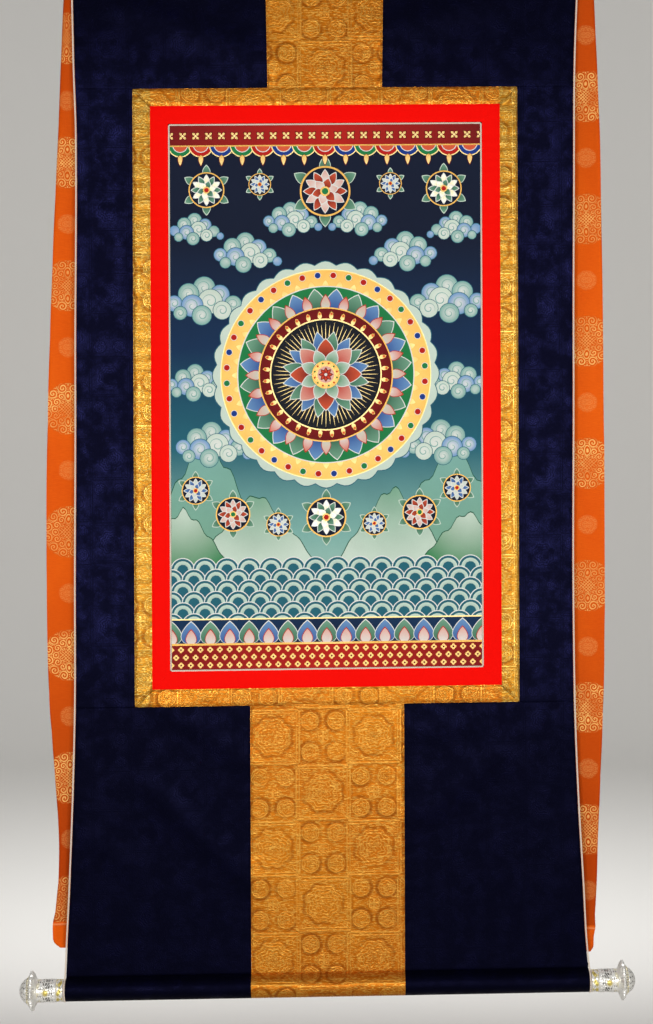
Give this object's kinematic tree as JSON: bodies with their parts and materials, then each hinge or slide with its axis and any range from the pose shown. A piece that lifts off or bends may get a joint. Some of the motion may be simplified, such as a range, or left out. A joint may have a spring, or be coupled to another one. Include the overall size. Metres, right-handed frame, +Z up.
{
  "type": "thangka scroll painting with its roller rod",
  "caption": "Himalayan scroll painting in a silk brocade mount with a cover cloth behind, hanging from its top edge and weighted by a roller rod with turned end caps.",
  "frame": {"origin": "middle of the top edge, where the scroll hangs", "axes": "+Z up, +X to the right as seen from the front, +Y away from the front towards the wall"},
  "size_m": [0.9256, 0.0606, 1.6071],
  "materials": {
    "painted_canvas": "primed cotton canvas with matt mineral paint and touches of gold",
    "cream_piping": "twisted cream silk cord",
    "red_silk": "plain red silk satin",
    "gold_brocade": "gold brocade woven with a lattice of rosettes",
    "blue_silk": "dark blue silk with a soft sheen and a faint woven figure",
    "orange_brocade": "orange silk brocade with scrolled round medallions",
    "rod_wood": "plain turned wood",
    "silver": "worked silver, darker in its recesses, with gilt collar and florets"
  },
  "bodies": {
    "root": {"painting": "painted_canvas", "picture_piping": "cream_piping", "red_band_top": "red_silk", "red_band_bottom": "red_silk", "red_band_left": "red_silk", "red_band_right": "red_silk", "gold_band_top": "gold_brocade", "gold_band_bottom": "gold_brocade", "gold_band_left": "gold_brocade", "gold_band_right": "gold_brocade", "gold_panel_top": "gold_brocade", "gold_panel_bottom": "gold_brocade", "silk_top_left": "blue_silk", "silk_top_right": "blue_silk", "silk_side_left": "blue_silk", "silk_side_right": "blue_silk", "silk_bottom_left": "blue_silk", "silk_bottom_right": "blue_silk", "edge_piping_left": "cream_piping", "edge_piping_right": "cream_piping", "cover_cloth": "orange_brocade", "roller_rod": "rod_wood", "end_cap_left": "silver", "end_cap_right": "silver"}
  },
  "joints": []
}
